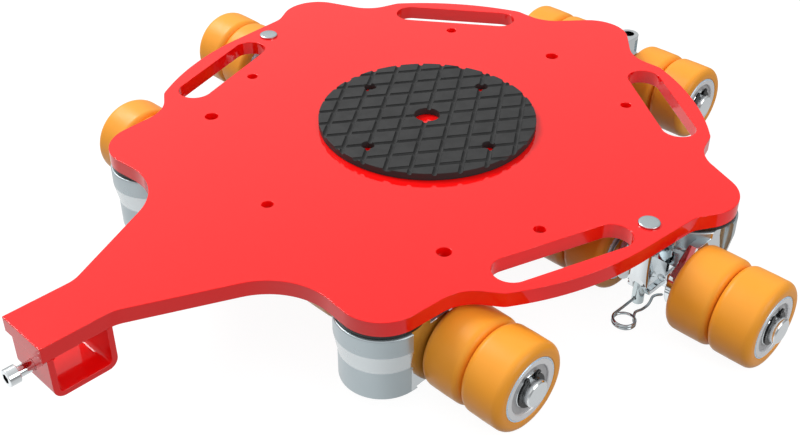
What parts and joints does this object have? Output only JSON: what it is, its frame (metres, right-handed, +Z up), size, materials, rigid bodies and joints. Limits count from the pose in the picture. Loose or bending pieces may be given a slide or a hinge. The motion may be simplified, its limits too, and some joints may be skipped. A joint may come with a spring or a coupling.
{
  "type": "five-castor load moving skate",
  "caption": "Low round load skate: red lobed steel deck with ribbed rubber pad, tow arm with clamp socket, and swivelling castors with twin rollers each side.",
  "frame": {"origin": "middle of the bounding box, on the floor under the wheels", "axes": "+Z up; -X towards the tow arm; the part is a mirror image of itself across the XZ plane"},
  "size_m": [0.8502, 0.787, 0.113],
  "materials": {
    "red_paint": "gloss",
    "pad_rubber": "ribbed matt",
    "tyre": "satin polyurethane",
    "cast_housing": "satin grey coat, bright machined cheeks",
    "bright_steel": "bright turned",
    "zinc_plate": "zinc plated",
    "black_steel": "blackened"
  },
  "bodies": {
    "deck": {"deck_plate": "red_paint", "load_pad": "pad_rubber", "tow_socket": "red_paint", "rear_kingpin": "bright_steel", "rear_thrust_bearing": "black_steel", "mid_left_kingpin": "bright_steel", "mid_left_thrust_bearing": "black_steel", "mid_right_kingpin": "bright_steel", "mid_right_thrust_bearing": "black_steel", "front_left_kingpin": "bright_steel", "front_left_thrust_bearing": "black_steel", "front_right_kingpin": "bright_steel", "front_right_thrust_bearing": "black_steel"},
    "rear_castor": {"rear_yoke": "cast_housing", "rear_axle": "bright_steel", "rear_circlip_left": "black_steel", "rear_circlip_right": "black_steel"},
    "rear_wheel_1": {"rear_wheel_1": "tyre"},
    "rear_wheel_2": {"rear_wheel_2": "tyre"},
    "rear_wheel_3": {"rear_wheel_3": "tyre"},
    "rear_wheel_4": {"rear_wheel_4": "tyre"},
    "mid_left_castor": {"mid_left_yoke": "cast_housing", "mid_left_axle": "bright_steel", "mid_left_circlip_left": "black_steel", "mid_left_circlip_right": "black_steel"},
    "mid_left_wheel_1": {"mid_left_wheel_1": "tyre"},
    "mid_left_wheel_2": {"mid_left_wheel_2": "tyre"},
    "mid_left_wheel_3": {"mid_left_wheel_3": "tyre"},
    "mid_left_wheel_4": {"mid_left_wheel_4": "tyre"},
    "mid_left_lock_pin": {"mid_left_lock_pin": "zinc_plate"},
    "mid_left_r_clip": {"mid_left_r_clip": "bright_steel"},
    "mid_right_castor": {"mid_right_yoke": "cast_housing", "mid_right_axle": "bright_steel", "mid_right_circlip_left": "black_steel", "mid_right_circlip_right": "black_steel"},
    "mid_right_wheel_1": {"mid_right_wheel_1": "tyre"},
    "mid_right_wheel_2": {"mid_right_wheel_2": "tyre"},
    "mid_right_wheel_3": {"mid_right_wheel_3": "tyre"},
    "mid_right_wheel_4": {"mid_right_wheel_4": "tyre"},
    "mid_right_lock_pin": {"mid_right_lock_pin": "zinc_plate"},
    "mid_right_r_clip": {"mid_right_r_clip": "bright_steel"},
    "front_left_castor": {"front_left_yoke": "cast_housing", "front_left_axle": "bright_steel", "front_left_circlip_left": "black_steel", "front_left_circlip_right": "black_steel"},
    "front_left_wheel_1": {"front_left_wheel_1": "tyre"},
    "front_left_wheel_2": {"front_left_wheel_2": "tyre"},
    "front_left_wheel_3": {"front_left_wheel_3": "tyre"},
    "front_left_wheel_4": {"front_left_wheel_4": "tyre"},
    "front_right_castor": {"front_right_yoke": "cast_housing", "front_right_axle": "bright_steel", "front_right_circlip_left": "black_steel", "front_right_circlip_right": "black_steel"},
    "front_right_wheel_1": {"front_right_wheel_1": "tyre"},
    "front_right_wheel_2": {"front_right_wheel_2": "tyre"},
    "front_right_wheel_3": {"front_right_wheel_3": "tyre"},
    "front_right_wheel_4": {"front_right_wheel_4": "tyre"},
    "clamp_screw": {"tow_clamp_screw": "bright_steel"}
  },
  "joints": [
    {"name": "rear_swivel", "type": "hinge", "parent": "deck", "child": "rear_castor", "pos_m": [0.3326, 0, 0.05], "axis": [0, 0, 1], "continuous": true},
    {"name": "rear_wheel_1_spin", "type": "hinge", "parent": "rear_castor", "child": "rear_wheel_1", "pos_m": [0.3826, -0.1013, 0.0425], "axis": [0, 1, 0], "continuous": true},
    {"name": "rear_wheel_2_spin", "type": "hinge", "parent": "rear_castor", "child": "rear_wheel_2", "pos_m": [0.3826, -0.0577, 0.0425], "axis": [0, 1, 0], "continuous": true},
    {"name": "rear_wheel_3_spin", "type": "hinge", "parent": "rear_castor", "child": "rear_wheel_3", "pos_m": [0.3826, 0.0577, 0.0425], "axis": [0, 1, 0], "continuous": true},
    {"name": "rear_wheel_4_spin", "type": "hinge", "parent": "rear_castor", "child": "rear_wheel_4", "pos_m": [0.3826, 0.1013, 0.0425], "axis": [0, 1, 0], "continuous": true},
    {"name": "mid_left_swivel", "type": "hinge", "parent": "deck", "child": "mid_left_castor", "pos_m": [0.14141, -0.26316, 0.05], "axis": [0, 0, 1], "range_deg": [-0.5, 0.5]},
    {"name": "mid_left_wheel_1_spin", "type": "hinge", "parent": "mid_left_castor", "child": "mid_left_wheel_1", "pos_m": [0.09141, -0.36446, 0.0425], "axis": [0, 1, 0], "continuous": true},
    {"name": "mid_left_wheel_2_spin", "type": "hinge", "parent": "mid_left_castor", "child": "mid_left_wheel_2", "pos_m": [0.09141, -0.32086, 0.0425], "axis": [0, 1, 0], "continuous": true},
    {"name": "mid_left_wheel_3_spin", "type": "hinge", "parent": "mid_left_castor", "child": "mid_left_wheel_3", "pos_m": [0.09141, -0.20546, 0.0425], "axis": [0, 1, 0], "continuous": true},
    {"name": "mid_left_wheel_4_spin", "type": "hinge", "parent": "mid_left_castor", "child": "mid_left_wheel_4", "pos_m": [0.09141, -0.16186, 0.0425], "axis": [0, 1, 0], "continuous": true},
    {"name": "mid_left_lock_pin_lift", "type": "slide", "parent": "deck", "child": "mid_left_lock_pin", "axis": [0, 0, 1], "range_m": [0, 0.004]},
    {"name": "mid_left_r_clip_pull", "type": "slide", "parent": "mid_left_lock_pin", "child": "mid_left_r_clip", "axis": [-1, 0, 0], "range_m": [0, 0.03]},
    {"name": "mid_right_swivel", "type": "hinge", "parent": "deck", "child": "mid_right_castor", "pos_m": [0.14141, 0.26316, 0.05], "axis": [0, 0, 1], "range_deg": [-0.5, 0.5]},
    {"name": "mid_right_wheel_1_spin", "type": "hinge", "parent": "mid_right_castor", "child": "mid_right_wheel_1", "pos_m": [0.09141, 0.16186, 0.0425], "axis": [0, 1, 0], "continuous": true},
    {"name": "mid_right_wheel_2_spin", "type": "hinge", "parent": "mid_right_castor", "child": "mid_right_wheel_2", "pos_m": [0.09141, 0.20546, 0.0425], "axis": [0, 1, 0], "continuous": true},
    {"name": "mid_right_wheel_3_spin", "type": "hinge", "parent": "mid_right_castor", "child": "mid_right_wheel_3", "pos_m": [0.09141, 0.32086, 0.0425], "axis": [0, 1, 0], "continuous": true},
    {"name": "mid_right_wheel_4_spin", "type": "hinge", "parent": "mid_right_castor", "child": "mid_right_wheel_4", "pos_m": [0.09141, 0.36446, 0.0425], "axis": [0, 1, 0], "continuous": true},
    {"name": "mid_right_lock_pin_lift", "type": "slide", "parent": "deck", "child": "mid_right_lock_pin", "axis": [0, 0, 1], "range_m": [0, 0.004]},
    {"name": "mid_right_r_clip_pull", "type": "slide", "parent": "mid_right_lock_pin", "child": "mid_right_r_clip", "axis": [-1, 0, 0], "range_m": [0, 0.03]},
    {"name": "front_left_swivel", "type": "hinge", "parent": "deck", "child": "front_left_castor", "pos_m": [-0.16795, -0.16264, 0.05], "axis": [0, 0, 1], "continuous": true},
    {"name": "front_left_wheel_1_spin", "type": "hinge", "parent": "front_left_castor", "child": "front_left_wheel_1", "pos_m": [-0.11796, -0.26394, 0.0425], "axis": [0, 1, 0], "continuous": true},
    {"name": "front_left_wheel_2_spin", "type": "hinge", "parent": "front_left_castor", "child": "front_left_wheel_2", "pos_m": [-0.11796, -0.22034, 0.0425], "axis": [0, 1, 0], "continuous": true},
    {"name": "front_left_wheel_3_spin", "type": "hinge", "parent": "front_left_castor", "child": "front_left_wheel_3", "pos_m": [-0.11796, -0.10494, 0.0425], "axis": [0, 1, 0], "continuous": true},
    {"name": "front_left_wheel_4_spin", "type": "hinge", "parent": "front_left_castor", "child": "front_left_wheel_4", "pos_m": [-0.11796, -0.06134, 0.0425], "axis": [0, 1, 0], "continuous": true},
    {"name": "front_right_swivel", "type": "hinge", "parent": "deck", "child": "front_right_castor", "pos_m": [-0.16795, 0.16264, 0.05], "axis": [0, 0, 1], "continuous": true},
    {"name": "front_right_wheel_1_spin", "type": "hinge", "parent": "front_right_castor", "child": "front_right_wheel_1", "pos_m": [-0.11796, 0.06134, 0.0425], "axis": [0, 1, 0], "continuous": true},
    {"name": "front_right_wheel_2_spin", "type": "hinge", "parent": "front_right_castor", "child": "front_right_wheel_2", "pos_m": [-0.11796, 0.10494, 0.0425], "axis": [0, 1, 0], "continuous": true},
    {"name": "front_right_wheel_3_spin", "type": "hinge", "parent": "front_right_castor", "child": "front_right_wheel_3", "pos_m": [-0.11796, 0.22034, 0.0425], "axis": [0, 1, 0], "continuous": true},
    {"name": "front_right_wheel_4_spin", "type": "hinge", "parent": "front_right_castor", "child": "front_right_wheel_4", "pos_m": [-0.11796, 0.26394, 0.0425], "axis": [0, 1, 0], "continuous": true},
    {"name": "clamp_screw_travel", "type": "slide", "parent": "deck", "child": "clamp_screw", "axis": [1, 0, 0], "range_m": [-0.01, 0.013]}
  ]
}
